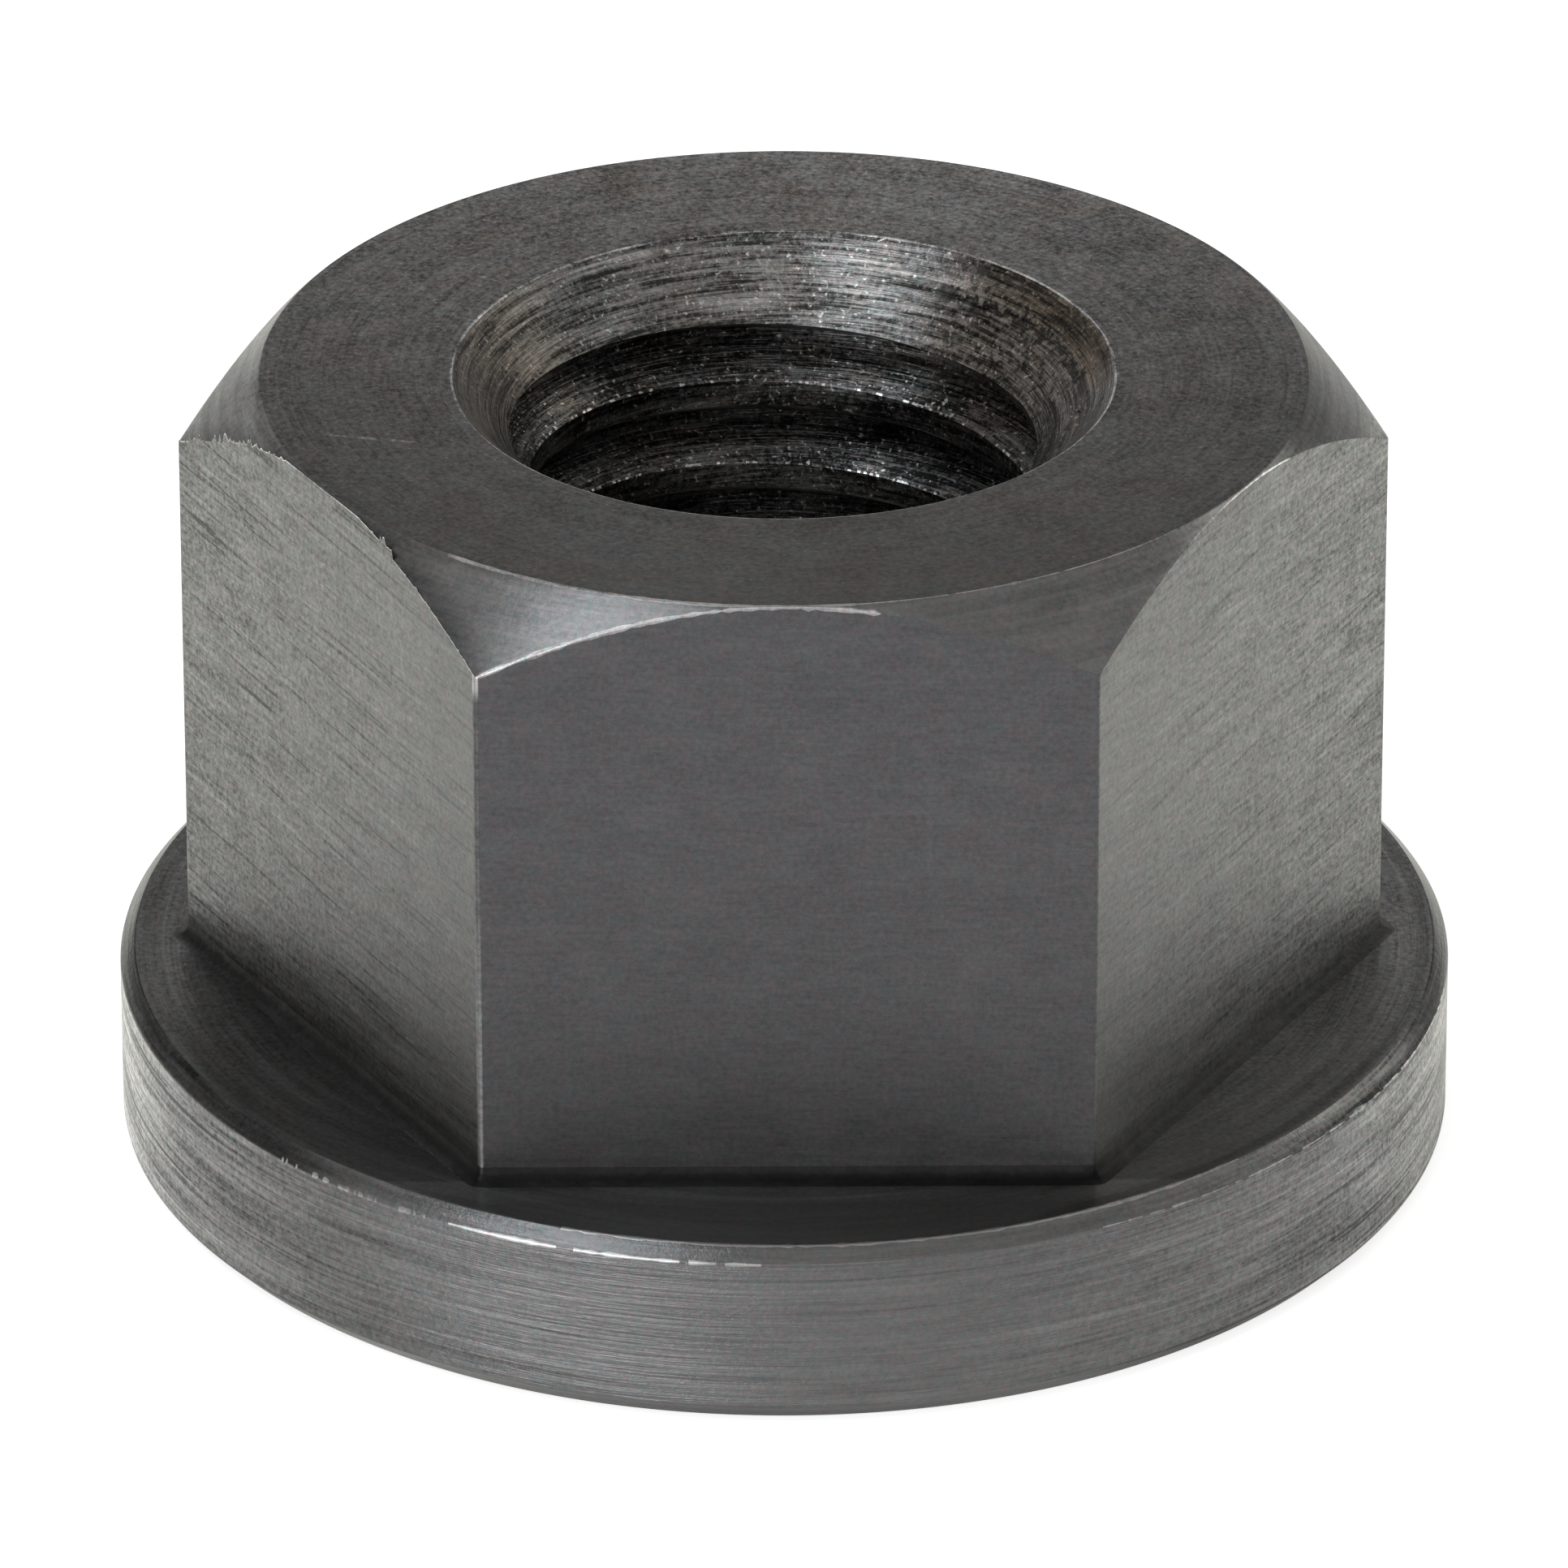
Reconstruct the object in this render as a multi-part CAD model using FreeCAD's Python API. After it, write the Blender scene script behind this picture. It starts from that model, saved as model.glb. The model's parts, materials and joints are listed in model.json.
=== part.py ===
"""Hex flange nut: a tall hexagon on a plain round collar, turned and milled from one bar.

Millimetres, +Z up. The origin is the centre of the bearing face, the thread's axis is +Z
and two of the hexagon's flats face -Y and +Y.
"""
import FreeCAD, Part
import math
import os

# Thread: half inch, thirteen turns to the inch
thread_major_diameter = 12.7
thread_pitch = 25.4 / 13
bore_radius = (thread_major_diameter - thread_pitch) / 2

# Countersinks at both mouths of the bore
countersink_margin = 0.67
countersink_half_angle = 45.0
countersink_radius = thread_major_diameter / 2 + countersink_margin
countersink_depth = (countersink_radius - bore_radius) / math.tan(math.radians(countersink_half_angle))

# Hexagon
nut_height = 17.4625
across_flats = 22.225
upright_edge_radius = 0.12
top_chamfer_angle = 43.0
corner_radius = across_flats / 2 / math.cos(math.radians(30))

# Collar, which stands out past the hexagon's corners
collar_overhang = 1.456
collar_thickness = 4.1
collar_top_chamfer = 0.31
collar_bottom_chamfer = 0.39
foot_fillet = 0.3
collar_radius = corner_radius + collar_overhang

AXIS_START = FreeCAD.Vector(0, 0, 0)
AXIS = FreeCAD.Vector(0, 0, 1)
TOLERANCE = 1e-6


def revolved(outline):
    """Turn an outline of (radius, height) points about the thread's axis.

    The turn starts over the middle of the rear flat, where the top's cone is a single point wide.
    """
    points = [FreeCAD.Vector(0, radius, height) for radius, height in outline]
    wire = Part.makePolygon(points + points[:1])
    return Part.Face(wire).revolve(AXIS_START, AXIS, 360)


def collar():
    """The round collar, with a chamfer on its upper and its lower rim."""
    return revolved([
        (0, 0),
        (collar_radius - collar_bottom_chamfer, 0),
        (collar_radius, collar_bottom_chamfer),
        (collar_radius, collar_thickness - collar_top_chamfer),
        (collar_radius - collar_top_chamfer, collar_thickness),
        (0, collar_thickness),
    ])


def hexagonal_bar():
    """The hexagon from the bearing face up, its upright edges lightly rounded."""
    corners = []
    for index in range(6):
        turn = math.radians(60 * index)
        corners.append(FreeCAD.Vector(corner_radius * math.cos(turn), corner_radius * math.sin(turn), 0))
    bar = Part.Face(Part.makePolygon(corners + corners[:1])).extrude(AXIS * nut_height)
    upright_edges = [edge for edge in bar.Edges if abs(edge.tangentAt(edge.FirstParameter).z) > 0.99]
    return bar.makeFillet(upright_edge_radius, upright_edges)


def chamfering_cone():
    """The turned blank: a top circle as wide as the flats, and a cone that falls away from it.

    Where the cone cuts the six flats it leaves the arched edges of the hexagon's top.
    """
    top_radius = across_flats / 2
    drop = (corner_radius - top_radius) * math.tan(math.radians(top_chamfer_angle))
    return revolved([
        (0, 0),
        (corner_radius, 0),
        (corner_radius, nut_height - drop),
        (top_radius, nut_height),
        (0, nut_height),
    ])


def is_foot_edge(edge):
    """True where the hexagon meets the collar's upper face; the collar's own rim is longer."""
    box = edge.BoundBox
    level = max(abs(box.ZMin - collar_thickness), abs(box.ZMax - collar_thickness)) < TOLERANCE
    return level and edge.Length < corner_radius


def blank():
    """Collar and hexagon as one solid, with a fillet where the hexagon stands on the collar."""
    hexagon = hexagonal_bar().common(chamfering_cone())
    body = collar().fuse(hexagon).removeSplitter()
    return body.makeFillet(foot_fillet, [edge for edge in body.Edges if is_foot_edge(edge)])


def bore():
    """The hole to be threaded, at the thread's inner diameter, open through both countersinks."""
    return revolved([
        (0, 0),
        (countersink_radius, 0),
        (bore_radius, countersink_depth),
        (bore_radius, nut_height - countersink_depth),
        (countersink_radius, nut_height),
        (0, nut_height),
    ])


def flange_nut():
    """The whole nut as one solid."""
    return blank().cut(bore()).Solids[0]


os.makedirs("parts", exist_ok=True)
flange_nut().exportStep("parts/flange_nut.step")
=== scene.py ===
import json
import math

import bmesh
import bpy
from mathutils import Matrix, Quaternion, Vector, noise


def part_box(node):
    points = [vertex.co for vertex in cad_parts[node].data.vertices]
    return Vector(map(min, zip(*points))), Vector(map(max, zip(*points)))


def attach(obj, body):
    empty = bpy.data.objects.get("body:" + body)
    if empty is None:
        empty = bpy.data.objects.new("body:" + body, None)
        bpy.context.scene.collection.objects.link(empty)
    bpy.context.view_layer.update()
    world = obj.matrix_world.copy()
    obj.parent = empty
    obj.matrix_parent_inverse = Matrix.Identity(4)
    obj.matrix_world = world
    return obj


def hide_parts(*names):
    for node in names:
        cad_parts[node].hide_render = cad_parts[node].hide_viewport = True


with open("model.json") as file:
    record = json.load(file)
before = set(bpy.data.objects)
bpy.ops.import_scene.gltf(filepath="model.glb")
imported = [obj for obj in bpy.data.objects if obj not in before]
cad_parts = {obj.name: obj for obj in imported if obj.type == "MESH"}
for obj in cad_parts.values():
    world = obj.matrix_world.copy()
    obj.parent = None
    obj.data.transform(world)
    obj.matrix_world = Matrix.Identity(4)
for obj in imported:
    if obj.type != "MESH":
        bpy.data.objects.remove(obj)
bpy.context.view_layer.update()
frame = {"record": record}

MM = 0.001
FULL = 2 * math.pi

# Sizes from the frame, in metres
node_low, node_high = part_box("flange_nut")
COLLAR_RADIUS = node_high[0]
NUT_HEIGHT = node_high[2]
mounts = {mount["name"]: mount for mount in frame["record"]["mounts"]}
THREAD_MINOR = mounts["thread"]["dims"]["r_mm"] * MM

# Sizes that the frame doesn't state
ACROSS_FLATS = 22.225 * MM
UPRIGHT_EDGE = 0.12 * MM
TOP_CHAMFER_ANGLE = math.radians(43)
COLLAR_THICKNESS = 4.1 * MM
COLLAR_TOP_CHAMFER = 0.31 * MM
COLLAR_BOTTOM_CHAMFER = 0.39 * MM
FOOT_FILLET = 0.3 * MM
THREAD_MAJOR = 6.35 * MM
THREAD_PITCH = 25.4 / 13 * MM
COUNTERSINK_RADIUS = 7.02 * MM
CREST_HEIGHT = 14.65 * MM

# Marks of use: a scratch on the top, chips in the collar's lip and a nick in the top's rim
SCRATCH_START = (-9.63 * MM, -2.95 * MM)
SCRATCH_END = (-7.77 * MM, -3.34 * MM)
SCRATCH_WIDTH = 0.07 * MM
SCRATCH_GLINT = 0.9
CHIPS = [math.radians(328), math.radians(334.5)]
NICK = math.radians(295)
MARK_HALF_WIDTH = math.radians(0.7)

# Edge breaks, the bands beside them that keep the flat stretches flat, and steps round the fillet
EDGE = 0.05 * MM
FINE_EDGE = 0.02 * MM
SUPPORT = 0.10 * MM
FILLET_STEPS = 5

APOTHEM = ACROSS_FLATS / 2
TOP_RADIUS = APOTHEM - FINE_EDGE
CONE_SLOPE = math.tan(TOP_CHAMFER_ANGLE)
SECTOR = math.radians(60)
QUARTER = math.radians(90)
FAR_SIDE = QUARTER

# Finishes, in the order of the material slots
FINISHES = ["bearing_face", "collar_side", "collar_chamfer", "collar_top", "foot", "even_flat",
            "coarse_flat", "fine_flat", "top_cone", "top_face", "countersink", "thread",
            "wear_and_highlight_edge", "upright_edge"]


# Outline of the hexagon; its faces are numbered 0 to 5 round from the corner at +X
def face_at(angle):
    """Number of the face, and how far along it this angle lies, 0 to 1."""
    turned = angle % FULL / SECTOR
    return int(turned) % 6, turned % 1


def hexagon_radius(angle, offset=0.0):
    """Distance from the axis to the hexagon's wall, or to a curve at an offset outside it."""
    from_flat = abs(angle % SECTOR - SECTOR / 2)
    from_corner = SECTOR / 2 - from_flat
    rounding = UPRIGHT_EDGE + offset
    centre = (APOTHEM - UPRIGHT_EDGE) / math.cos(SECTOR / 2)
    tangent_angle = math.atan2(centre * math.sin(SECTOR / 2), APOTHEM + offset)
    if from_flat <= tangent_angle:
        return (APOTHEM + offset) / math.cos(from_flat)
    across = centre * math.sin(from_corner)
    return centre * math.cos(from_corner) + math.sqrt(rounding ** 2 - across ** 2)


LEFT_FACE, FRONT_FACE, RIGHT_FACE = 3, 4, 5
OPPOSITE_FLATS = ["coarse_flat", "fine_flat", "even_flat"]

# Stretches of edges with painted highlights, and of burred and torn edges: a face, and where on it the
# stretch starts and ends, 0 to 1
UPRIGHT_PAINTED_HIGHLIGHT = [(LEFT_FACE, 0.991, 1), (FRONT_FACE, 0, 0.004)]
LIP_PAINTED_HIGHLIGHT_LEFT = [(LEFT_FACE, 0.70, 1)]
LIP_PAINTED_HIGHLIGHT_FRONT = [(FRONT_FACE, 0, 0.45)]
LIP_PAINTED_HIGHLIGHT_RIGHT = [(FRONT_FACE, 0.95, 1), (RIGHT_FACE, 0, 0.85)]
LEDGE_PAINTED_HIGHLIGHT = [(FRONT_FACE, 0.17, 1), (RIGHT_FACE, 0, 0.2)]
FOOT_TORN = [(LEFT_FACE, 0.6, 0.97)]
BURR_RIDGE = [(LEFT_FACE, 0.15, 0.75)]
BURR_SPIKES = [(LEFT_FACE, 0.03, 0.76)]
ARCH_PAINTED_HIGHLIGHT = [(FRONT_FACE, 0, 0.66)]
ARCH_THIN_PAINTED_HIGHLIGHT = [(RIGHT_FACE, 0.28, 0.66)]
RIM_PAINTED_HIGHLIGHT = [(LEFT_FACE, 0.85, 1), (FRONT_FACE, 0, 0.62)]
RIM_THIN_PAINTED_HIGHLIGHT = [(FRONT_FACE, 0, 1), (RIGHT_FACE, 0, 0.3)]


def on_stretch(angle, stretches):
    """True where this angle lies on one of these stretches."""
    face, along = face_at(angle)
    return any(face == number and start <= along < end for number, start, end in stretches)


def at_mark(angle, mark):
    """True where this angle lies on a small mark, given the angle of the mark's middle."""
    return abs(angle % FULL - mark) < MARK_HALF_WIDTH


def wall_finish(angle):
    """Finish of the wall: opposite flats are alike, and the upright edge on the front left is lighter, a
    painted highlight.
    """
    face, _ = face_at(angle)
    return "upright_edge" if on_stretch(angle, UPRIGHT_PAINTED_HIGHLIGHT) else OPPOSITE_FLATS[face % 3]


# Columns of the mesh, in degrees: their steps along a face, and how far the close ones are from a corner
COLUMN_STEP = 0.75
FINE_STEP = 0.25
NEAR_CORNER = [0.0, 0.07, 0.14, 0.21, 0.28, 0.4]


def column_angles():
    """Angles of the mesh columns, once round from the far side, denser at corners and burrs."""
    angles = []
    for face in range(6):
        step = FINE_STEP if face == LEFT_FACE else COLUMN_STEP
        stretch = 30 - NEAR_CORNER[-1]
        count = round(stretch / step)
        even = stretch / count
        half = NEAR_CORNER + [NEAR_CORNER[-1] + even * (index + 1) for index in range(count)]
        for offset in half:
            angles.append(60 * face + offset)
            if 0 < offset < 30:
                angles.append(60 * face + 60 - offset)
    return sorted(FAR_SIDE + (math.radians(angle) - FAR_SIDE) % FULL for angle in angles)


def ripple(angle, seed, waves):
    """A smooth seeded value, about -1 to 1, that closes after a full turn."""
    return 1.6 * noise.noise(Vector((math.cos(angle) * waves, math.sin(angle) * waves, seed * 7.3)))


def burr_height(angle):
    """The low torn burr that stands up along the arched edge of the left face."""
    ridge = 0.10 if on_stretch(angle, BURR_RIDGE) else 0.03
    spikes = 0.24 if on_stretch(angle, BURR_SPIKES) else 0.06
    return MM * (ridge + spikes * max(0.0, ripple(angle, 3, 120)))


class Path:
    """One column of the mesh: points in the order of the section, each with the next band's finish."""

    def __init__(self):
        self.points = []

    def add(self, radius, height, finish):
        self.points.append((Vector((radius, height)), FINISHES.index(finish)))

    def rounded(self, before, corner, after, setback, edge_finish, finish):
        """Break a corner between two stretches by a small setback along each."""
        back = Vector(before) - Vector(corner)
        ahead = Vector(after) - Vector(corner)
        start = Vector(corner) + back.normalized() * min(setback, back.length * 0.45)
        end = Vector(corner) + ahead.normalized() * min(setback, ahead.length * 0.45)
        middle = start * 0.25 + Vector(corner) * 0.5 + end * 0.25
        self.add(*start, edge_finish)
        self.add(*middle, edge_finish)
        self.add(*end, finish)


def collar_lip(angle):
    """Whether the upper edge of the collar's side is lighter here, a painted highlight on lit stretches
    and wear at chips, and how wide it is broken.
    """
    on_front = on_stretch(angle, LIP_PAINTED_HIGHLIGHT_FRONT)
    unevenness = ripple(angle, 2, 90 if on_front else 200)
    chipped = any(at_mark(angle, chip) for chip in CHIPS)
    if on_stretch(angle, LIP_PAINTED_HIGHLIGHT_RIGHT) and not chipped:
        return unevenness > -0.4, EDGE * (0.35 + 0.25 * unevenness)
    on_left = on_stretch(angle, LIP_PAINTED_HIGHLIGHT_LEFT)
    if on_front and unevenness > -0.7 or on_left and unevenness > 0.15 or chipped:
        return True, EDGE * max(0.2, 0.85 + 0.7 * unevenness)
    return False, 0.6 * EDGE


def collar_section(path, angle):
    """From the lower countersink's rim over the bearing face and the collar to the hexagon's foot."""
    reach = COLLAR_RADIUS - COLLAR_BOTTOM_CHAMFER
    ledge = COLLAR_RADIUS - COLLAR_TOP_CHAMFER
    side_top = COLLAR_THICKNESS - COLLAR_TOP_CHAMFER
    rim = (COUNTERSINK_RADIUS, 0)
    low = (COLLAR_RADIUS, COLLAR_BOTTOM_CHAMFER)
    high = (COLLAR_RADIUS, side_top)
    top = (ledge, COLLAR_THICKNESS)
    foot = (hexagon_radius(angle, FOOT_FILLET), COLLAR_THICKNESS)
    # The lip's lighter finish is a painted highlight on lit stretches, and wear at the chips
    lip_wear_and_highlight, width = collar_lip(angle)
    lip = "wear_and_highlight_edge" if lip_wear_and_highlight else "collar_chamfer"
    # The ledge's inner edge carries a painted highlight on its front stretch
    ledge_highlighted = on_stretch(angle, LEDGE_PAINTED_HIGHLIGHT)
    inner_width = EDGE * (0.8 + 0.5 * ripple(angle, 9, 100)) if ledge_highlighted else FINE_EDGE
    inner_lip = "wear_and_highlight_edge" if ledge_highlighted else "collar_chamfer"
    path.add(COUNTERSINK_RADIUS - EDGE, EDGE, "countersink")
    path.rounded((COUNTERSINK_RADIUS - EDGE * 2, EDGE * 2), rim, (reach, 0), EDGE, "countersink",
                 "bearing_face")
    path.add(COUNTERSINK_RADIUS + 3 * SUPPORT, 0, "bearing_face")
    path.add(reach - 3 * SUPPORT, 0, "bearing_face")
    path.rounded(rim, (reach, 0), low, FINE_EDGE, "collar_chamfer", "collar_chamfer")
    path.rounded((reach, 0), low, high, EDGE, "collar_chamfer", "collar_side")
    path.add(COLLAR_RADIUS, COLLAR_BOTTOM_CHAMFER + 2 * SUPPORT, "collar_side")
    path.add(COLLAR_RADIUS, side_top - 2 * SUPPORT, "collar_side")
    path.rounded(low, high, top, width, lip, "collar_chamfer")
    path.rounded(high, top, foot, inner_width, inner_lip, "collar_top")
    path.add(ledge - 2 * SUPPORT, COLLAR_THICKNESS, "collar_top")
    torn = on_stretch(angle, FOOT_TORN) and ripple(angle, 4, 120) > -0.1
    path.add(foot[0] + 0.3 * SUPPORT, COLLAR_THICKNESS, "top_cone" if torn else "foot")


def wall_section(path, angle):
    """Up the hexagon's wall from its foot fillet to the arched edge under the top's cone."""
    wall = hexagon_radius(angle)
    finish = wall_finish(angle)
    for index in range(FILLET_STEPS + 1):
        turn = QUARTER * index / FILLET_STEPS
        stand_off = FOOT_FILLET * (1 - math.sin(turn))
        height = COLLAR_THICKNESS + FOOT_FILLET * (1 - math.cos(turn))
        path.add(hexagon_radius(angle, stand_off), height, "foot" if index < FILLET_STEPS else finish)
    wall_foot = COLLAR_THICKNESS + FOOT_FILLET
    cone_foot = NUT_HEIGHT - (wall - TOP_RADIUS) * CONE_SLOPE
    path.add(wall, wall_foot + 2 * SUPPORT, finish)
    path.add(wall, (wall_foot + cone_foot) / 2, finish)
    path.add(wall, cone_foot - 3 * SUPPORT, finish)
    foot = (wall, wall_foot)
    edge = (wall, cone_foot)
    top = (TOP_RADIUS, NUT_HEIGHT)
    unevenness = 0.7 * ripple(angle, 1, 90)
    if face_at(angle)[0] == LEFT_FACE:
        spike = min(cone_foot + burr_height(angle), NUT_HEIGHT - 0.2 * FINE_EDGE)
        path.add(wall, spike - 0.4 * EDGE, "wear_and_highlight_edge")
        path.add(wall - 0.1 * FINE_EDGE, spike, "top_cone")
        path.add(wall - 0.5 * FINE_EDGE, cone_foot + 0.5 * FINE_EDGE * CONE_SLOPE, "top_cone")
    # The arched edge carries a painted highlight on the front face, and a thin one on the right face
    elif on_stretch(angle, ARCH_PAINTED_HIGHLIGHT):
        path.rounded(foot, edge, top, EDGE * (1.1 + unevenness), "wear_and_highlight_edge", "top_cone")
    elif on_stretch(angle, ARCH_THIN_PAINTED_HIGHLIGHT):
        path.rounded(foot, edge, top, FINE_EDGE * (1.0 + unevenness), "wear_and_highlight_edge", "top_cone")
    else:
        path.rounded(foot, edge, top, 0.5 * FINE_EDGE, finish, "top_cone")
    reach = min(2 * EDGE, (wall - TOP_RADIUS) * 0.5)
    path.add(wall - reach, cone_foot + reach * CONE_SLOPE, "top_cone")


def top_section(path, angle):
    """Over the top's cone and flat face to the upper countersink's rim."""
    wall = hexagon_radius(angle)
    edge = (wall, NUT_HEIGHT - (wall - TOP_RADIUS) * CONE_SLOPE)
    top = (TOP_RADIUS, NUT_HEIGHT)
    rim = (COUNTERSINK_RADIUS, NUT_HEIGHT)
    # The rim carries a painted highlight on the front left and a thin broken one on the front and right;
    # the nick is wear
    rim_wear_and_highlight = on_stretch(angle, RIM_PAINTED_HIGHLIGHT) or at_mark(angle, NICK)
    width = 0.8 * EDGE * (1.1 + 0.5 * ripple(angle, 5, 50)) if rim_wear_and_highlight else FINE_EDGE
    if not rim_wear_and_highlight and on_stretch(angle, RIM_THIN_PAINTED_HIGHLIGHT):
        rim_wear_and_highlight = ripple(angle, 10, 70) > -0.5
        width = 0.3 * EDGE
    path.add((wall + TOP_RADIUS) / 2, (edge[1] + NUT_HEIGHT) / 2, "top_cone")
    path.rounded(edge, top, rim, width, "wear_and_highlight_edge" if rim_wear_and_highlight else "top_cone", "top_face")
    path.add(TOP_RADIUS - 3 * SUPPORT, NUT_HEIGHT, "top_face")
    path.add((TOP_RADIUS + COUNTERSINK_RADIUS) / 2, NUT_HEIGHT, "top_face")
    path.add(COUNTERSINK_RADIUS + 3 * SUPPORT, NUT_HEIGHT, "top_face")
    path.rounded(top, rim, (COUNTERSINK_RADIUS - EDGE * 2, NUT_HEIGHT - EDGE * 2), 0.6 * EDGE,
                 "wear_and_highlight_edge", "countersink")
    path.add(COUNTERSINK_RADIUS - EDGE, NUT_HEIGHT - EDGE, "countersink")


# Thread: a right-hand helix whose crest's upper edge lies at CREST_HEIGHT on the far side
THREAD_DEPTH = THREAD_MAJOR - THREAD_MINOR
FLANK_HEIGHT = THREAD_DEPTH * math.tan(math.radians(30))
ROOT_WIDTH = THREAD_PITCH / 8
CREST_WIDTH = THREAD_PITCH - ROOT_WIDTH - 2 * FLANK_HEIGHT

# Rows of the wall within one pitch, up from a crest's upper edge
THREAD_ROWS = [
    FINE_EDGE,
    FLANK_HEIGHT * 0.5,
    FLANK_HEIGHT,
    FLANK_HEIGHT + ROOT_WIDTH,
    FLANK_HEIGHT * 1.5 + ROOT_WIDTH,
    THREAD_PITCH - CREST_WIDTH - FINE_EDGE,
    THREAD_PITCH - CREST_WIDTH + FINE_EDGE,
    THREAD_PITCH - FINE_EDGE,
]


def thread_radius(above_crest):
    """Radius of the threaded wall at a height above a crest's upper edge."""
    up = above_crest % THREAD_PITCH
    down = THREAD_PITCH - CREST_WIDTH - up
    return THREAD_MINOR + THREAD_DEPTH * max(0.0, min(1.0, up / FLANK_HEIGHT, down / FLANK_HEIGHT))


def countersink_radius(height):
    """Radius of whichever countersink reaches this height; both fall away at 45 degrees."""
    return COUNTERSINK_RADIUS - min(height, NUT_HEIGHT - height)


# Halvings of a row's step in the search for the place where the thread starts to cut the countersink
HALVINGS = 20


def bore_column(turn):
    """Points of one column up the bore's wall; turn runs from 0 at the far side to 1."""
    crest = CREST_HEIGHT + THREAD_PITCH * turn
    lowest = -math.ceil(CREST_HEIGHT / THREAD_PITCH) - 1
    highest = math.ceil((NUT_HEIGHT - CREST_HEIGHT) / THREAD_PITCH)
    heights = [crest + THREAD_PITCH * pitch + row
               for pitch in range(lowest, highest) for row in THREAD_ROWS]

    def cut(height):
        return thread_radius(height - crest) > countersink_radius(height)

    snapped = list(heights)
    for index in range(len(heights) - 1):
        low, high = heights[index], heights[index + 1]
        if high < EDGE or low > NUT_HEIGHT - EDGE or cut(low) == cut(high):
            continue
        below, above = low, high
        for _ in range(HALVINGS):
            middle = (below + above) / 2
            if cut(middle) == cut(low):
                below = middle
            else:
                above = middle
        snapped[index if below - low < high - below else index + 1] = below
    points = []
    for height in snapped:
        height = min(max(height, EDGE), NUT_HEIGHT - EDGE)
        points.append(Vector((max(thread_radius(height - crest), countersink_radius(height)), height)))
    return points


# Points this close are one, edges this short go, and edges bent by more than this angle are sharp
SAME_PLACE = 1e-7
NO_LENGTH = 1e-8
SHARP_ANGLE = math.radians(28)

# The upper edge of a thread's crest is worn bright where its seeded value is above this
GLINT_LIMIT = 0.3


def nut_mesh():
    """The closed mesh of the whole nut."""
    angles = column_angles()
    mesh = bmesh.new()

    def placed(point, angle):
        return mesh.verts.new((point.x * math.cos(angle), point.x * math.sin(angle), point.y))

    def on_cone(vert):
        return abs(math.hypot(vert.co.x, vert.co.y) - countersink_radius(vert.co.z)) < SAME_PLACE

    outside, finishes, inside = [], [], []
    for angle in angles:
        path = Path()
        collar_section(path, angle)
        wall_section(path, angle)
        top_section(path, angle)
        outside.append([placed(point, angle) for point, _ in path.points])
        finishes.append([finish for _, finish in path.points])
        inside.append([placed(point, angle) for point in bore_column((angle - FAR_SIDE) / FULL)])
    last = len(inside[0]) - 1
    for index in range(len(angles)):
        following = (index + 1) % len(angles)
        for row in range(len(outside[0]) - 1):
            face = mesh.faces.new((outside[index][row], outside[following][row],
                                   outside[following][row + 1], outside[index][row + 1]))
            face.material_index = finishes[index][row]
        shift = len(THREAD_ROWS) if following == 0 else 0
        for row in range(last):
            lower = inside[following][min(row + shift, last)]
            upper = inside[following][min(row + 1 + shift, last)]
            corners = (inside[index][row], inside[index][row + 1], upper, lower)
            if lower is upper:
                corners = corners[:3]
            face = mesh.faces.new(corners)
            coned = all(on_cone(vert) for vert in corners)
            crest_edge = row % len(THREAD_ROWS) == len(THREAD_ROWS) - 1
            glint = crest_edge and ripple(angles[index], 6 + row, 60) > GLINT_LIMIT
            inner_finish = "countersink" if coned else "wear_and_highlight_edge" if glint else "thread"
            face.material_index = FINISHES.index(inner_finish)
    bmesh.ops.remove_doubles(mesh, verts=mesh.verts, dist=SAME_PLACE)
    bmesh.ops.dissolve_degenerate(mesh, edges=mesh.edges, dist=NO_LENGTH)
    bmesh.ops.recalc_face_normals(mesh, faces=mesh.faces)
    for face in mesh.faces:
        face.smooth = True
    data = bpy.data.meshes.new("nut")
    mesh.to_mesh(data)
    mesh.free()
    data.set_sharp_from_angle(angle=SHARP_ANGLE)
    return data


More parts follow.
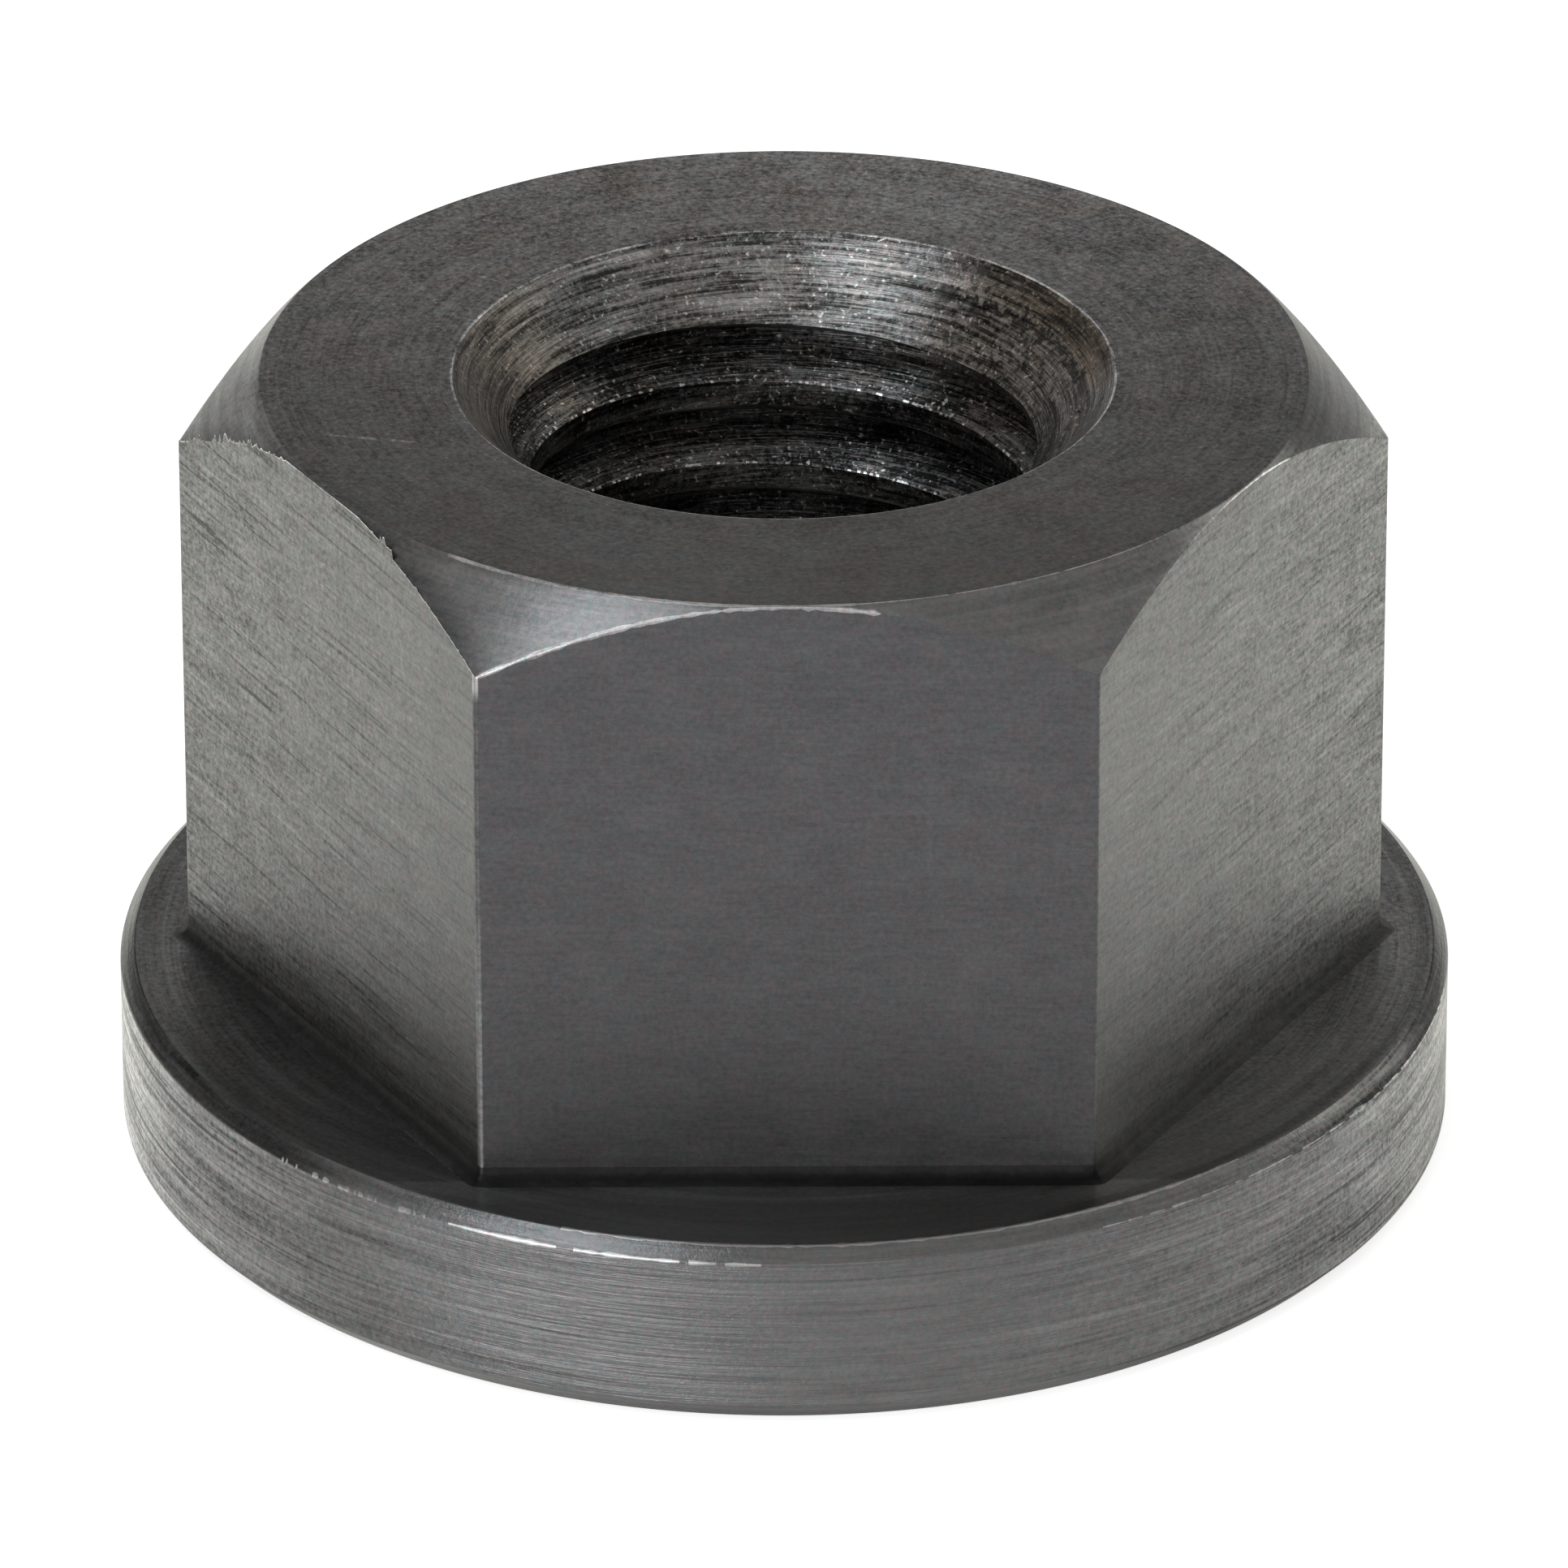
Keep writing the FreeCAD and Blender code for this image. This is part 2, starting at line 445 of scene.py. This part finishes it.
# Shader trees
class Tree:
    """Adds and links shader nodes in one node tree."""

    def __init__(self, owner):
        owner.use_nodes = True
        self.nodes = owner.node_tree.nodes
        self.links = owner.node_tree.links
        self.nodes.clear()

    def give(self, socket, value):
        if isinstance(value, bpy.types.NodeSocket):
            self.links.new(value, socket)
        else:
            socket.default_value = value

    def add(self, kind, inputs, **settings):
        node = self.nodes.new(kind)
        for key, value in settings.items():
            setattr(node, key, value)
        for key, value in inputs.items():
            self.give(node.inputs[key], value)
        return node

    def math(self, operation, first, second=0.0, third=0.0):
        inputs = {0: first, 1: second, 2: third}
        return self.add("ShaderNodeMath", inputs, operation=operation).outputs[0]

    def noise(self, vector, scale, detail, roughness=0.6):
        inputs = {"Vector": vector, "Scale": scale, "Detail": detail, "Roughness": roughness}
        value = self.add("ShaderNodeTexNoise", inputs).outputs["Fac"]
        return self.math("SUBTRACT", value, 0.5)

    def total(self, start, *parts):
        for value, share in parts:
            start = self.math("MULTIPLY_ADD", value, share, start)
        return start

    def ramp(self, value, low, high, start=0.0, end=1.0):
        inputs = {"Value": value, "From Min": low, "From Max": high, "To Min": start, "To Max": end}
        return self.add("ShaderNodeMapRange", inputs).outputs["Result"]

    def blend(self, amount, first, second):
        node = self.add("ShaderNodeMix", {}, data_type="RGBA")
        self.give(node.inputs[0], amount)
        self.give(node.inputs[6], first)
        self.give(node.inputs[7], second)
        return node.outputs[2]

    def product(self, start, *others):
        for other in others:
            start = self.math("MULTIPLY", start, other)
        return start

    def highest(self, start, *others):
        for other in others:
            start = self.math("MAXIMUM", start, other)
        return start

    def length(self, across, along):
        square = self.math("MULTIPLY", along, along)
        return self.math("SQRT", self.math("MULTIPLY_ADD", across, across, square))

    def away(self, value, middle):
        return self.math("ABSOLUTE", self.math("SUBTRACT", value, middle))

    def place(self):
        return self.add("ShaderNodeTexCoord", {}).outputs["Object"]

    def coordinates(self):
        return self.add("ShaderNodeSeparateXYZ", {0: self.place()}).outputs


# Directions of the tool marks
def turned(tree, across, along, climb):
    """Coordinates for turned marks: quick across the grooves, slow along them, with no seam."""
    x, y, z = tree.coordinates()
    radius = tree.length(x, y)
    step = tree.math("MULTIPLY", tree.math("MULTIPLY_ADD", z, climb, radius), across)
    cosine = tree.math("MULTIPLY", tree.math("DIVIDE", x, radius), along)
    sine = tree.math("MULTIPLY", tree.math("DIVIDE", y, radius), along)
    return tree.add("ShaderNodeCombineXYZ", {0: step, 1: cosine, 2: sine}).outputs[0]


def ground(tree, across, along, lean):
    """Coordinates for ground marks: quick up the wall, slow along it, leaning by a small share."""
    x, y, z = tree.coordinates()
    height = tree.math("MULTIPLY_ADD", y, 1.8 * lean, tree.math("MULTIPLY_ADD", x, lean, z))
    return tree.add("ShaderNodeCombineXYZ", {
        0: tree.math("MULTIPLY", x, along),
        1: tree.math("MULTIPLY", y, along),
        2: tree.math("MULTIPLY", height, across),
    }).outputs[0]


# Broad changes of tone: painted light and shade, and a scratch
def corner_painted_shade(tree):
    """Painted shade in the corner where the hexagon stands on the collar, darkest at the corner line."""
    place = tree.place()
    height = tree.coordinates()[2]
    reach = 0.0
    for side in range(3):
        angle = SECTOR * (side + 0.5)
        normal = (math.cos(angle), math.sin(angle), 0)
        along = tree.add("ShaderNodeVectorMath", {0: place, 1: normal}, operation="DOT_PRODUCT")
        reach = tree.math("MAXIMUM", tree.math("ABSOLUTE", along.outputs["Value"]), reach)
    aside = tree.math("MAXIMUM", tree.math("SUBTRACT", reach, APOTHEM), 0.0)
    above = tree.math("SUBTRACT", height, COLLAR_THICKNESS)
    ragged = tree.total(tree.length(aside, above), (tree.noise(place, 2500.0, 3.0), 0.12 * MM))
    return tree.ramp(ragged, 0.14 * MM, 0.33 * MM, 0.27, 1.0)


def foot_shade(tree):
    """Painted shade on the foot's fillet, darkest under the front flat."""
    forward = tree.coordinates()[1]
    front = tree.ramp(forward, -11.0 * MM, -10.2 * MM, 0.6, 1.0)
    return tree.product(corner_painted_shade(tree), front)


def beyond_left_flat(tree):
    """Distance from the plane of the left flat, on either side."""
    x, y, z = tree.coordinates()
    normal = math.radians(60 * LEFT_FACE + 30)
    outward = tree.math("MULTIPLY_ADD", x, math.cos(normal), tree.math("MULTIPLY", y, math.sin(normal)))
    return tree.away(outward, APOTHEM)


def flat_shade(tree):
    """Painted shade: the flats darken towards the foot."""
    height = tree.coordinates()[2]
    close = tree.ramp(height, COLLAR_THICKNESS + 0.3 * MM, COLLAR_THICKNESS + 0.7 * MM, 0.8, 1.0)
    low = tree.ramp(height, COLLAR_THICKNESS + 1.5 * MM, COLLAR_THICKNESS + 9.0 * MM, 0.78, 0.97)
    return tree.product(close, low, corner_painted_shade(tree))


def coarse_flat_shade(tree):
    """Painted shade: the coarse flats are darker still just over the foot."""
    height = tree.coordinates()[2]
    close = tree.ramp(height, COLLAR_THICKNESS + 0.4 * MM, COLLAR_THICKNESS + 0.7 * MM, 0.72, 1.0)
    return tree.product(flat_shade(tree), close)


def fine_flat_shade(tree):
    """Painted shade: the fine flats are a little darker in a band one to three millimetres over the foot.
    """
    height = tree.coordinates()[2]
    above = tree.math("SUBTRACT", height, COLLAR_THICKNESS)
    into_band = tree.ramp(above, 0.6 * MM, 1.2 * MM, 1.0, 0.88)
    out_of_band = tree.ramp(above, 2.5 * MM, 4.5 * MM, 0.88, 1.0)
    return tree.product(flat_shade(tree), tree.highest(into_band, out_of_band))


def ledge_shade(tree):
    """The collar's upper face has a thin dark ring near its rim, on the right and at the left end.

    Painted shade makes it darker beside the left flat and near the hexagon's foot, and a painted
    highlight makes it brighter close before the front flat.
    """
    x, y, z = tree.coordinates()
    middle = COLLAR_RADIUS - COLLAR_TOP_CHAMFER - 0.2 * MM
    off_ring = tree.away(tree.length(x, y), middle)
    ring = tree.highest(tree.ramp(off_ring, 0.08 * MM, 0.2 * MM, 0.72, 1.0), tree.ramp(x, 7 * MM, 5 * MM))
    left_ring = tree.highest(tree.ramp(off_ring, 0.25 * MM, 0.45 * MM, 0.75, 1.0),
                             tree.ramp(x, -12.5 * MM, -11 * MM))
    beside = tree.ramp(beyond_left_flat(tree), 0.2 * MM, 2.4 * MM, 0.8, 1.0)
    # Painted highlight on the ledge close before the front flat
    before = tree.math("SUBTRACT", tree.math("MULTIPLY", y, -1.0), APOTHEM)
    front_painted_highlight = tree.product(tree.ramp(before, 0.0, 0.1 * MM), tree.ramp(before, 0.5 * MM, 1.1 * MM, 0.5, 0.0))
    beside = tree.product(beside, tree.math("ADD", front_painted_highlight, 1.0))
    return tree.product(ring, left_ring, beside, corner_painted_shade(tree))


def scratch(tree, start, end, width):
    """1 along a thin broken scratch between two places on the top, 0 elsewhere."""
    place = tree.place()
    x, y, z = tree.coordinates()
    ahead = Vector(end) - Vector(start)
    length = ahead.length
    ahead.normalize()
    right = tree.math("SUBTRACT", x, start[0])
    back = tree.math("SUBTRACT", y, start[1])
    along = tree.math("MULTIPLY_ADD", right, ahead.x, tree.math("MULTIPLY", back, ahead.y))
    across = tree.math("MULTIPLY_ADD", right, -ahead.y, tree.math("MULTIPLY", back, ahead.x))
    across = tree.math("MULTIPLY_ADD", tree.noise(place, 3000.0, 2.0), width, across)
    line = tree.ramp(tree.math("ABSOLUTE", across), width * 0.3, width, 1.0, 0.0)
    inside = tree.ramp(tree.away(along, length / 2), length * 0.45, length * 0.55, 1.0, 0.0)
    broken = tree.ramp(tree.noise(place, 5000.0, 2.0), -0.1, 0.1, 0.2, 1.0)
    return tree.product(inside, broken, line)


def top_shade(tree):
    """The top face has painted light: a little brighter towards the rear and duller at both sides; it has
    a scratch.
    """
    x, y, z = tree.coordinates()
    rear = tree.ramp(y, -2 * MM, 10 * MM, 0.70, 1.26)
    sides = tree.ramp(tree.math("ABSOLUTE", x), 5 * MM, 9 * MM, 1.0, 0.88)
    mark = scratch(tree, SCRATCH_START, SCRATCH_END, SCRATCH_WIDTH)
    return tree.total(tree.product(rear, sides), (mark, SCRATCH_GLINT))


def cone_shade(tree):
    """Painted shade on the cone: darker just behind the left face's arched edge and near both side
    corners.
    """
    x = tree.coordinates()[0]
    behind = tree.ramp(beyond_left_flat(tree), 0.1 * MM, 0.5 * MM, 0.6, 1.0)
    left = tree.highest(tree.ramp(x, -11.2 * MM, -11.6 * MM, 1.0, 0.62),
                        tree.ramp(x, -11.9 * MM, -12.5 * MM))
    right = tree.highest(tree.ramp(x, 9.8 * MM, 10.8 * MM, 1.0, 0.42), tree.ramp(x, 11.9 * MM, 12.5 * MM))
    return tree.product(left, right, behind)


def chamfer_shade(tree):
    """Painted shade on the collar's chamfers: darker at both ends, the upper one most and the lower one
    sooner, and the upper one a little on the front left.
    """
    x, y, z = tree.coordinates()
    upper = tree.ramp(z, 1 * MM, 3 * MM)
    left = tree.ramp(x, -10.5 * MM, -8.5 * MM, tree.ramp(upper, 0.0, 1.0, 0.55, 0.30), 1.0)
    front_left = tree.highest(tree.ramp(x, -9.5 * MM, -7.0 * MM, 1.0, 0.82),
                              tree.ramp(x, -3.0 * MM, -0.5 * MM, 0.82, 1.0),
                              tree.math("SUBTRACT", 1.0, upper))
    start = tree.ramp(upper, 0.0, 1.0, 6.0 * MM, 9.5 * MM)
    dip = tree.ramp(upper, 0.0, 1.0, 0.46, 0.52)
    right = tree.ramp(x, start, tree.math("ADD", start, 2.8 * MM), 1.0, dip)
    rise = tree.math("SUBTRACT", tree.ramp(x, 11.9 * MM, 12.8 * MM), upper)
    end = tree.ramp(x, 13.0 * MM, 13.7 * MM, 1.0, 0.5)
    return tree.product(left, front_left, tree.product(tree.highest(right, rise), end))


def side_shade(tree):
    """Painted light on the collar's side: brighter at both ends."""
    x = tree.coordinates()[0]
    left = tree.highest(tree.ramp(x, -13.9 * MM, -12.9 * MM, 1.8, 1.2),
                        tree.ramp(x, -12 * MM, -9.5 * MM, 1.2, 1.0))
    before_left = tree.ramp(x, -12.9 * MM, -9.5 * MM, 1.0, 0.83)
    right = tree.ramp(x, 11 * MM, 13.5 * MM, 1.0, 1.3)
    return tree.product(left, before_left, right)


def upright_painted_light(tree):
    """Painted light on the lighter upright edge: painted shade dulls its upper half, and a painted
    highlight brightens its very top.
    """
    height = tree.coordinates()[2]
    return tree.highest(tree.ramp(height, 8 * MM, 12 * MM, 1.0, 0.6),
                        tree.ramp(height, 15.3 * MM, 15.6 * MM, 0.6, 2.0))


def around(tree):
    """Radius with a ragged error, the cosine of the angle from +X, and 1 on the rear half."""
    x, y, z = tree.coordinates()
    radius = tree.length(x, y)
    ragged = tree.total(radius, (tree.noise(tree.place(), 4000.0, 3.0), 0.7 * MM))
    cosine = tree.math("DIVIDE", x, radius)
    return ragged, cosine, tree.ramp(y, -0.5 * MM, 1.0 * MM)


def countersink_shade(tree):
    """Two torn dark lines and dark pits on the right with darker steel between them; painted shade
    darkens the left and a painted highlight brightens the rear.
    """
    ragged, cosine, rearward = around(tree)
    off_line = tree.away(ragged, THREAD_MAJOR)
    off_rim = tree.away(ragged, COUNTERSINK_RADIUS - 0.12 * MM)
    lines = tree.highest(tree.ramp(off_line, 0.05 * MM, 0.13 * MM, 0.85, 0.0),
                         tree.ramp(off_rim, 0.05 * MM, 0.12 * MM, 0.7, 0.0))
    lines = tree.product(lines, tree.ramp(cosine, 0.40, 0.60))
    pits = tree.ramp(tree.noise(tree.place(), 5000.0, 2.0), -0.02, -0.14, 0.0, 0.7)
    pits = tree.product(pits, tree.ramp(cosine, 0.45, 0.65))
    between = tree.ramp(ragged, THREAD_MAJOR, THREAD_MAJOR + 0.1 * MM, 0.0, 0.3)
    between = tree.product(between, tree.ramp(cosine, 0.62, 0.76))
    dark = tree.product(tree.highest(lines, pits, between), rearward)
    # Painted shade on the left, and a painted highlight across the rear
    left = tree.ramp(cosine, -0.8, -0.6, 0.60, 1.0)
    bright = tree.product(tree.ramp(cosine, -0.75, -0.35), tree.ramp(cosine, 0.5, -0.1))
    return tree.product(tree.math("SUBTRACT", 1.0, dark), left, tree.total(1.0, (bright, 0.2)))


def countersink_stain(tree):
    """Brown tint on the right, more of it outside the inner line, and a fainter one on the left."""
    ragged, cosine, rearward = around(tree)
    outside = tree.ramp(ragged, THREAD_MAJOR + 0.05 * MM, THREAD_MAJOR + 0.15 * MM, 0.35, 0.75)
    right = tree.product(tree.ramp(cosine, 0.5, 0.86), rearward, outside)
    left = tree.ramp(cosine, -0.7, -0.95, 0.0, 0.45)
    return tree.highest(right, left)


# Tints of the steel, as shares of red, green and blue; its hue wavers between cool and warm
COOL = (0.91, 1.01, 1.0)
WARM = (1.09, 0.98, 0.97)
RUST = (1.0, 0.74, 0.52)
STAIN = (1.05, 0.80, 0.56)


def tinted(level, shares):
    """A colour at this level of brightness."""
    return tuple(level * share for share in shares) + (1,)


def steel(name, level, marks, streaks, grain, roughness, bump, scratches=0.0, rust=0.0, flecks=0.0,
          rear=1.0, shade=None, stain=None):
    """Dark burnished steel.

    The level is its brightness. The marks are a direction, how often they change across it and
    along it, and a slant. Streaks, grain and scratches are the shares by which the tool
    marks, the fine speckle and the deeper scratches change it; rust and flecks are the shares
    of brown tint and of bright specks. Rear is how strong the marks are on the far half. A shade
    is a function that multiplies in a broad change of tone, mostly painted light and shade, and
    a stain is one that adds brown.
    """
    material = bpy.data.materials.new(name)
    tree = Tree(material)
    direction, across, along, slant = marks
    place = tree.place()
    forward = tree.coordinates()[1]
    fine = tree.noise(direction(tree, across, along, slant), 1.0, 3.0, 0.7)
    broad = tree.noise(direction(tree, across / 7, along / 2, slant), 1.0, 3.0, 0.6)
    speckle = tree.noise(place, 8000.0, 3.0, 0.8)
    cloud = tree.noise(place, 900.0, 5.0, 0.75)
    swing = tree.total(0.0, (fine, streaks), (broad, streaks * 0.7), (speckle, grain),
                       (cloud, 0.7 + rust))
    if scratches:
        deep = tree.noise(direction(tree, across * 0.6, along * 0.35, -slant), 1.0, 1.0)
        swing = tree.math("SUBTRACT", swing, tree.ramp(deep, 0.10, 0.20, 0.0, scratches))
        swing = tree.math("ADD", swing, tree.ramp(deep, -0.12, -0.20, 0.0, scratches * 0.6))
    if flecks:
        spots = tree.noise(place, 9000.0, 1.0)
        swing = tree.math("ADD", swing, tree.ramp(spots, 0.13, 0.25, 0.0, flecks))
    # The marks are faint on the nearest part of the nut
    swing = tree.product(swing, tree.ramp(forward, -14 * MM, -1 * MM, 0.2, 1.5),
                         tree.ramp(forward, 0.0, 6 * MM, 1.0, rear))
    tone = tree.highest(tree.math("ADD", swing, 1.0), 0.2)
    if shade:
        tone = tree.product(tone, shade(tree))
    hue = tree.ramp(tree.noise(place, 5000.0, 3.0, 0.8), -0.15, 0.15)
    colour = tree.blend(hue, tinted(level, COOL), tinted(level, WARM))
    if rust:
        patch = tree.ramp(tree.noise(place, 400.0, 5.0, 0.8), -0.03, 0.17, 0.0, rust)
        colour = tree.blend(patch, colour, tinted(level, RUST))
    if stain:
        colour = tree.blend(stain(tree), colour, tinted(level, STAIN))
    colour = tree.add("ShaderNodeVectorMath", {0: colour, "Scale": tone}, operation="SCALE").outputs[0]
    normal = tree.add("ShaderNodeBump", {"Height": tree.total(0.0, (speckle, 0.35), (fine, 1.0)),
                                         "Strength": 1.0, "Distance": bump})
    tangent = tree.add("ShaderNodeTangent", {}, direction_type="RADIAL", axis="Z")
    shader = tree.add("ShaderNodeBsdfPrincipled", {
        "Base Color": colour,
        "Metallic": 1.0,
        "Roughness": tree.ramp(broad, -0.15, 0.15, roughness - 0.03, roughness + 0.04),
        "Anisotropic": 0.7,
        "Anisotropic Rotation": 0.25,
        "Normal": normal.outputs[0],
        "Tangent": tangent.outputs[0],
    })
    tree.add("ShaderNodeOutputMaterial", {"Surface": shader.outputs[0]})
    return material


def nut_materials():
    """One material per finish, in the order of FINISHES."""
    radial = (turned, 15000, 3, 0.0)
    conical = (turned, 11000, 3, 0.5)
    upright = (turned, 11000, 4, 1.0)
    level = (ground, 15000, 600, 0.04)
    smooth = (ground, 15000, 1500, 0.02)
    return [
        steel("bearing_face", 0.18, radial, 0.9, 1.0, 0.36, 6e-6),
        steel("collar_side", 0.205, upright, 3.2, 3.2, 0.36, 5e-5, scratches=0.8, rear=0.4,
              shade=side_shade),
        steel("collar_chamfer", 0.20, conical, 4.5, 2.4, 0.30, 2e-5, rear=0.4, shade=chamfer_shade),
        steel("collar_top", 0.164, radial, 1.2, 2.0, 0.32, 3e-6, shade=ledge_shade),
        # The foot's low level is painted shade on its fillet
        steel("foot", 0.10, upright, 0.5, 1.5, 0.42, 3e-6, shade=foot_shade),
        steel("even_flat", 0.156, level, 1.2, 2.4, 0.35, 4e-6, scratches=0.3, rear=0.5,
              shade=flat_shade),
        steel("coarse_flat", 0.160, level, 1.1, 2.4, 0.35, 4e-6, scratches=0.45, rear=0.5,
              shade=coarse_flat_shade),
        steel("fine_flat", 0.163, smooth, 0.8, 1.8, 0.36, 3e-6, rear=0.4, shade=fine_flat_shade),
        steel("top_cone", 0.22, conical, 1.6, 1.6, 0.35, 8e-6, shade=cone_shade),
        steel("top_face", 0.176, radial, 1.0, 2.6, 0.36, 6e-6, rust=0.4, flecks=0.6, shade=top_shade),
        steel("countersink", 0.19, conical, 3.8, 2.2, 0.30, 5e-5, rust=0.25, flecks=1.5,
              shade=countersink_shade, stain=countersink_stain),
        # The thread's low level is painted shade in the bore
        steel("thread", 0.10, upright, 4.5, 4.0, 0.32, 3.0e-5, rust=0.5, flecks=4.0),
        # Light edge steel: wear at chips, the nick, the burr, the upper countersink's rim and crest
        # edges, and a painted highlight on the lit stretches of lip, ledge, arches and top rim
        steel("wear_and_highlight_edge", 0.45, upright, 3.0, 3.0, 0.30, 3e-6),
        # The upright edge finish carries the painted highlight of the front-left upright edge
        steel("upright_edge", 0.22, upright, 2.0, 3.0, 0.42, 3e-6, shade=upright_painted_light),
    ]


def build_nut():
    """The nut's piece, which stands for the CAD solid."""
    nut = bpy.data.objects.new("hex_flange_nut", nut_mesh())
    bpy.context.collection.objects.link(nut)
    for material in nut_materials():
        nut.data.materials.append(material)
    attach(nut, "root")
    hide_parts("flange_nut")


# Floor: plain white to the camera; in reflections it is white beside the nut, with painted shade before
# it and a painted shadow close by on its right
FLOOR_HALF = 4.0
FLOOR_DROP = 0.02 * MM
FLOOR_LIFT = 0.71
SHADE_START = -27 * MM
SHADE_END = 8 * MM
SHADED_TINT = (0.02, 0.0, 0.04, 1)
OPEN_TINT = (0.80, 0.805, 0.715, 1)


def floor_material():
    """A pale floor that keeps the nut's soft shadow."""
    material = bpy.data.materials.new("pale_floor")
    tree = Tree(material)
    path = tree.add("ShaderNodeLightPath", {}).outputs
    camera_lift = tree.product(path["Is Camera Ray"], FLOOR_LIFT)
    x, y, z = tree.coordinates()
    # Painted shadow: reflections of the floor are dimmer close to the nut's right side
    painted_contact_shadow = tree.ramp(tree.length(x, y), COLLAR_RADIUS, 1.08 * COLLAR_RADIUS, 0.5, 1.0)
    open_side = tree.highest(painted_contact_shadow, tree.ramp(x, 2 * MM, -8 * MM))
    mirrored = tree.product(tree.highest(path["Is Glossy Ray"], path["Is Transmission Ray"]), open_side)
    tint = tree.blend(tree.ramp(y, SHADE_START, SHADE_END), SHADED_TINT, OPEN_TINT)
    diffuse = tree.add("ShaderNodeBsdfDiffuse", {"Color": (0.85, 0.85, 0.85, 1)}).outputs[0]
    white = tree.add("ShaderNodeEmission", {"Color": (1, 1, 1, 1), "Strength": camera_lift}).outputs[0]
    glow = tree.add("ShaderNodeEmission", {"Color": tint, "Strength": mirrored}).outputs[0]
    lit = tree.add("ShaderNodeAddShader", {0: white, 1: glow}).outputs[0]
    lit = tree.add("ShaderNodeAddShader", {0: diffuse, 1: lit}).outputs[0]
    clear = tree.add("ShaderNodeBsdfTransparent", {}).outputs[0]
    below = tree.add("ShaderNodeNewGeometry", {}).outputs["Backfacing"]
    surface = tree.add("ShaderNodeMixShader", {0: below, 1: lit, 2: clear}).outputs[0]
    tree.add("ShaderNodeOutputMaterial", {"Surface": surface})
    return material


def build_floor():
    """A wide floor just under the bearing face."""
    corners = [(side * FLOOR_HALF, end * FLOOR_HALF, -FLOOR_DROP)
               for side, end in ((-1, -1), (1, -1), (1, 1), (-1, 1))]
    data = bpy.data.meshes.new("floor")
    data.from_pydata(corners, [], [(0, 1, 2, 3)])
    floor = bpy.data.objects.new("floor", data)
    bpy.context.collection.objects.link(floor)
    data.materials.append(floor_material())


# Light
LAMP_DISTANCE = 1.0


def lamp(name, azimuth, elevation, width, height, radiance, colour):
    """A soft rectangular lamp aimed at the nut. Azimuth 0 is behind the nut, 90 on its right."""
    light = bpy.data.lights.new(name, "AREA")
    light.shape = "RECTANGLE"
    light.size = width
    light.size_y = height
    light.energy = radiance * math.pi * width * height
    light.color = colour
    holder = bpy.data.objects.new(name, light)
    bpy.context.collection.objects.link(holder)
    turn, rise = math.radians(azimuth), math.radians(elevation)
    level = math.cos(rise)
    direction = Vector((math.sin(turn) * level, math.cos(turn) * level, math.sin(rise)))
    holder.location = direction * LAMP_DISTANCE
    holder.rotation_mode = "QUATERNION"
    holder.rotation_quaternion = direction.to_track_quat("Z", "Y")
    holder.visible_camera = False


def build_light():
    """A key lamp high on the front left, a low strip under it for the edges, weak fills, a dim room."""
    lamp("key_lamp", -130, 58, 0.45, 0.3, 3.7, (0.88, 0.94, 1.0))
    lamp("low_strip", -144, 12, 0.68, 0.2, 7.4, (0.96, 0.98, 1.0))
    lamp("right_fill", 60, 27, 0.5, 0.4, 1.2, (1.0, 1.0, 0.90))
    lamp("front_fill", 180, 27, 0.8, 0.4, 0.8, (1.0, 0.99, 0.98))
    world = bpy.data.worlds.new("room")
    tree = Tree(world)
    seen = tree.add("ShaderNodeLightPath", {}).outputs["Is Camera Ray"]
    strength = tree.ramp(seen, 0.0, 1.0, 0.45, 1.0)
    glow = tree.add("ShaderNodeBackground", {"Color": (1.0, 0.985, 0.975, 1), "Strength": strength})
    tree.add("ShaderNodeOutputWorld", {"Surface": glow.outputs[0]})
    bpy.context.scene.world = world


# Camera, from the perspective of the photograph
CAMERA_DISTANCE = 332.0 * MM
CAMERA_RISE = math.radians(27.06)
CAMERA_TURN = math.radians(-0.32)
CAMERA_TILT = -0.00242
CAMERA_ROLL = -0.0013
CAMERA_BASE = 8.57 * MM
CAMERA_LENS = 356.3


def build_camera():
    """A long lens in front of the nut, looking down on it."""
    data = bpy.data.cameras.new("camera")
    data.sensor_width = 36
    data.lens = CAMERA_LENS
    data.clip_start = 0.01
    data.clip_end = 20
    camera = bpy.data.objects.new("camera", data)
    bpy.context.collection.objects.link(camera)
    back = Vector((math.sin(CAMERA_TURN) * math.cos(CAMERA_RISE),
                   -math.cos(CAMERA_TURN) * math.cos(CAMERA_RISE), math.sin(CAMERA_RISE)))
    right = Vector((math.cos(CAMERA_TURN), math.sin(CAMERA_TURN), 0))
    ahead = back.cross(right) * CAMERA_TILT - back
    camera.location = back * CAMERA_DISTANCE + Vector((0, 0, CAMERA_BASE))
    camera.rotation_mode = "QUATERNION"
    camera.rotation_quaternion = ahead.to_track_quat("-Z", "Y") @ Quaternion((0, 0, 1), CAMERA_ROLL)
    bpy.context.scene.camera = camera


build_nut()
build_floor()
build_light()
build_camera()
bpy.context.scene.view_settings.view_transform = "Standard"
